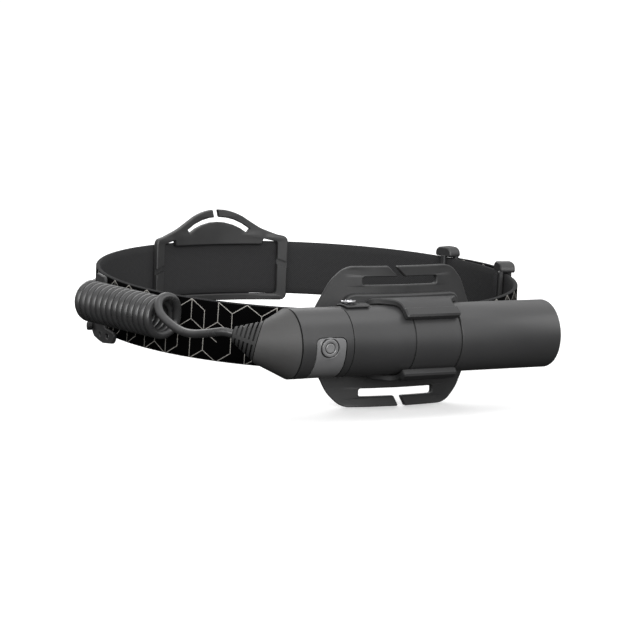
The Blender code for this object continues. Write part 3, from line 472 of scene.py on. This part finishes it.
def ribbon(name, line, width, thick, node, printed_outside=True):
    """Webbing along a line of (length, offset) places on the loop, with rounded edges."""
    centre = [on_loop(length, 0, offset) for length, offset in line]
    half, edge = width / 2, EDGE_ROUND
    section = []  # (height, outwards, material)
    for k in range(FACE_STEPS + 1):
        section.append((-half + edge + (width - 2 * edge) * k / FACE_STEPS, thick / 2, OUTER_FACE))
    for k in range(1, EDGE_STEPS):
        angle = math.pi * k / EDGE_STEPS
        section.append((half - edge + edge * math.sin(angle), thick / 2 * math.cos(angle), EDGE))
    for k in range(FACE_STEPS + 1):
        section.append((half - edge - (width - 2 * edge) * k / FACE_STEPS, -thick / 2, INNER_FACE))
    for k in range(1, EDGE_STEPS):
        angle = math.pi * k / EDGE_STEPS
        section.append((-half + edge - edge * math.sin(angle), -thick / 2 * math.cos(angle), EDGE))
    count = len(section)
    verts, lengths, run = [], [], 0.0
    for i, point in enumerate(centre):
        before, after = centre[max(i - 1, 0)], centre[min(i + 1, len(centre) - 1)]
        along = (after - before).normalized()
        out = along.cross(Vector((0, 0, 1))).normalized()
        up = out.cross(along)
        if i:
            run += (point - centre[i - 1]).length
        lengths.append(run)
        for height, outwards, _ in section:
            verts.append((point + up * height + out * outwards) * MM)
    faces, kinds, places = [], [], []
    start = line[0][0]
    for i in range(len(centre) - 1):
        for k in range(count):
            n = (k + 1) % count
            faces.append((i * count + k, i * count + n, (i + 1) * count + n, (i + 1) * count + k))
            kinds.append(section[k][2] if section[k][2] == section[n][2] else EDGE)
            for ring, point in ((i, k), (i, n), (i + 1, n), (i + 1, k)):
                places.append(((start + lengths[ring]) * MM, section[point][0] * MM))
    last = (len(centre) - 1) * count
    for face in (tuple(range(count))[::-1], tuple(range(last, last + count))):
        faces.append(face)
        kinds.append(EDGE)
        places += [(section[v % count][1] * MM, section[v % count][0] * MM) for v in face]
    mesh = bpy.data.meshes.new(name)
    mesh.from_pydata(verts, [], faces)
    layer = mesh.uv_layers.new(name="place")
    for loop, place in zip(layer.data, places):
        loop.uv = place
    outer, inner = (PRINTED, TWILL) if printed_outside else (TWILL, PRINTED)
    for material in (outer, inner, SELVEDGE):
        mesh.materials.append(material)
    mesh.polygons.foreach_set("material_index", kinds)
    mesh.polygons.foreach_set("use_smooth", [len(face) == 4 for face in faces])
    mesh.update()
    piece = bpy.data.objects.new(name, mesh)
    scene.collection.objects.link(piece)
    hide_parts(node)
    return piece


def stretch(start, end, offset):
    """Places from start to end, with the offset a number or a function of the share covered."""
    steps = max(2, round(abs(end - start) / STRAP_SPACING))
    return [(start + (end - start) * k / steps, offset(k / steps) if callable(offset) else offset)
            for k in range(steps + 1)]


def u_turn(length, middle, radius, first, last, steps=10):
    """Places on an arc round a bar, from angle first to last; 90 degrees is outwards."""
    turned = []
    for k in range(steps + 1):
        angle = math.radians(first + (last - first) * k / steps)
        turned.append((length + radius * math.cos(angle), middle + radius * math.sin(angle)))
    return turned


FRONT_BAR = length_at(BUCKLE_2) + BAR_SPACING  # of the fixed buckle
REAR_BAR = length_at(BUCKLE_2) - BAR_SPACING + length_at(math.tau)
BAR_LEAD = 0.4  # past a bar, where a straight stretch meets the turn round it
RETURN_WIDTH, RETURN_THICK = STRAP_WIDTH - 0.4, 1.5
RETURN_TURN = 2.3  # radius of its turns, and its height over a bar's middle
RETURN_BULGE = 1.3


def make_strap():
    line = stretch(FRONT_BAR + BAR_LEAD, REAR_BAR - BAR_LEAD, 0.0)
    line += u_turn(REAR_BAR, -BAR_MIDDLE, BAR_MIDDLE, 82, -60)[1:]
    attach(ribbon("strap_webbing", line, STRAP_WIDTH, STRAP_THICK, "strap"), "headband")


def make_return():
    slider = length_at(BUCKLE_1)
    slider_bar = slider - BAR_SPACING
    over = BAR_MIDDLE + RETURN_TURN

    def bulge(share):
        return over + RETURN_BULGE * math.sin(math.pi * share)

    line = u_turn(FRONT_BAR, BAR_MIDDLE, RETURN_TURN, 262, 98, 12)
    line += stretch(FRONT_BAR + BAR_LEAD, slider_bar - 1.6, bulge)[1:]
    line += u_turn(slider_bar, BAR_MIDDLE, RETURN_TURN, 110, 10, 6)
    line += [(slider_bar + 2.6, 1.95)]
    piece = ribbon("strap_return_layer", line, RETURN_WIDTH, RETURN_THICK, "strap_return", False)
    a, b = on_loop(slider - 16.0, 0, over) * MM, on_loop(slider - 6.5, 0, over) * MM
    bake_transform(piece)


make_strap()
make_return()

# ---------------------------------------------------------------- materials of the CAD parts

LOOKS = {
    SHELL: ("control_housing", "main_tube", "barrel", "lamp_shell"),
    PLASTIC: ("charge_block", "cradle_pad", "upper_jaw", "lower_jaw", "slider_buckle", "fixed_buckle",
              "lamp_base", "side_bracket", "side_pin"),
    GREY_PLASTIC: ("rear_plate", "front_bracket"),
    SOFT: ("end_cap",),
    RUBBER: ("strain_relief", "barrel_o_ring", "lamp_button", "cord_gland"),
    CHROME: ("contact_ring", "contact_pin", "reflector"),
    STEEL: ("tact_switch", "contact_plate", "contact_spring", "pivot_pin"),
    ALUMINIUM: ("bezel", "heat_sink"),
    smoked("panel_smoked", (0.13, 0.13, 0.132)): ("smoked_panel", "button_ring"),
    smoked("button_smoked", (0.145, 0.145, 0.147)): ("pack_button",),
    board(): ("control_board", "led_board"),
    sleeve(): ("battery_cell",),
    phosphor(): ("led",),
    clear(): ("lens",),
}
for material, nodes in LOOKS.items():
    for node in nodes:
        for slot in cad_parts[node].material_slots:
            slot.material = material
cord.data.materials.append(JACKET)


SHARP_ANGLE = math.radians(32.0)
MERGE_DISTANCE = 1e-6


def smooth_shading():
    """Joins each CAD part's separate faces and shades it smooth except over its sharp edges."""
    group = bpy.data.node_groups.new("smooth_shading", "GeometryNodeTree")
    group.interface.new_socket("Geometry", in_out="INPUT", socket_type="NodeSocketGeometry")
    group.interface.new_socket("Geometry", in_out="OUTPUT", socket_type="NodeSocketGeometry")
    nodes, links = group.nodes, group.links
    start, end = nodes.new("NodeGroupInput"), nodes.new("NodeGroupOutput")
    merge = nodes.new("GeometryNodeMergeByDistance")
    merge.inputs["Distance"].default_value = MERGE_DISTANCE
    normals = nodes.new("GeometryNodeSetMeshNormal")
    normals.mode = "SHARPNESS"
    normals.inputs["Remove Custom"].default_value = True
    bend = nodes.new("GeometryNodeInputMeshEdgeAngle")
    over = nodes.new("FunctionNodeCompare")
    over.data_type, over.operation = "FLOAT", "GREATER_THAN"
    over.inputs[1].default_value = SHARP_ANGLE
    links.new(start.outputs[0], merge.inputs["Geometry"])
    links.new(merge.outputs[0], normals.inputs["Mesh"])
    links.new(bend.outputs["Unsigned Angle"], over.inputs[0])
    links.new(over.outputs["Result"], normals.inputs["Edge Sharpness"])
    links.new(normals.outputs[0], end.inputs[0])
    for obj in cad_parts.values():
        obj.modifiers.new("smooth_shading", "NODES").node_group = group


smooth_shading()

# ---------------------------------------------------------------- stage and light

SKY_LOW, SKY_HIGH = 0.03, 1.0
SKY_FROM, SKY_TO = -0.35, 0.75  # heights on the unit sphere between which the sky brightens
FLOOR_GLOW = 0.3  # keeps the floor white, as light that bounces about in a studio does
FLOOR_RADIUS, FLOOR_SIDES = 24.0, 96
FLOOR_GAP = 0.0004  # under the object
SOFTBOXES = (  # name, place, size, power
    ("top_light", (0.1, -0.3, 1.5), (1.6, 1.0), 6.0),
    ("front_light", (-0.4, -1.9, 0.65), (1.6, 1.0), 38.0),
    ("left_light", (-1.6, -0.9, 0.7), (1.0, 1.2), 8.0),
    ("right_light", (1.7, -0.6, 0.8), (1.0, 1.2), 5.5),
    ("back_light", (0.2, 1.9, 1.1), (1.6, 0.8), 8.0),
)


def make_stage():
    floor_look = Look("floor_pale", (0.86, 0.86, 0.86), 0.7)
    floor_look.tint(floor_look.noise(1.5, 3.0), (0.84, 0.84, 0.84))
    floor_look.shader.inputs["Emission Color"].default_value = (1, 1, 1, 1)
    floor_look.shader.inputs["Emission Strength"].default_value = FLOOR_GLOW
    mesh = bpy.data.meshes.new("floor")
    angles = [math.tau * k / FLOOR_SIDES for k in range(FLOOR_SIDES)]
    low = cad_box[0].z - FLOOR_GAP
    ring = [(FLOOR_RADIUS * math.cos(angle), FLOOR_RADIUS * math.sin(angle), low) for angle in angles]
    mesh.from_pydata(ring, [], [tuple(range(FLOOR_SIDES))])
    mesh.materials.append(floor_look.material)
    floor = bpy.data.objects.new("floor", mesh)
    scene.collection.objects.link(floor)
    floor.visible_glossy = False
    floor.visible_diffuse = False
    world = bpy.data.worlds.new("studio")
    world.use_nodes = True
    shade = world.node_tree.nodes["Background"]
    place = world.node_tree.nodes.new("ShaderNodeTexCoord")
    parts = world.node_tree.nodes.new("ShaderNodeSeparateXYZ")
    level = world.node_tree.nodes.new("ShaderNodeMapRange")
    level.interpolation_type = "SMOOTHSTEP"
    for socket, value in zip(level.inputs[1:5], (SKY_FROM, SKY_TO, SKY_LOW, SKY_HIGH)):
        socket.default_value = value
    world.node_tree.links.new(place.outputs["Generated"], parts.inputs[0])
    world.node_tree.links.new(parts.outputs["Z"], level.inputs["Value"])
    world.node_tree.links.new(level.outputs[0], shade.inputs["Strength"])
    shade.inputs["Color"].default_value = (1, 1, 1, 1)
    scene.world = world
    scene.view_settings.view_transform = "Standard"
    scene.view_settings.look = "None"


def softbox(name, place, size, power):
    data = bpy.data.lights.new(name, "AREA")
    data.shape = "RECTANGLE"
    data.size, data.size_y = size
    data.energy = power
    light = bpy.data.objects.new(name, data)
    light.location = place
    light.rotation_mode = "QUATERNION"
    light.rotation_quaternion = (TARGET - Vector(place)).to_track_quat("-Z", "Y")
    scene.collection.objects.link(light)


make_stage()
for light in SOFTBOXES:
    softbox(*light)

bpy.context.view_layer.update()
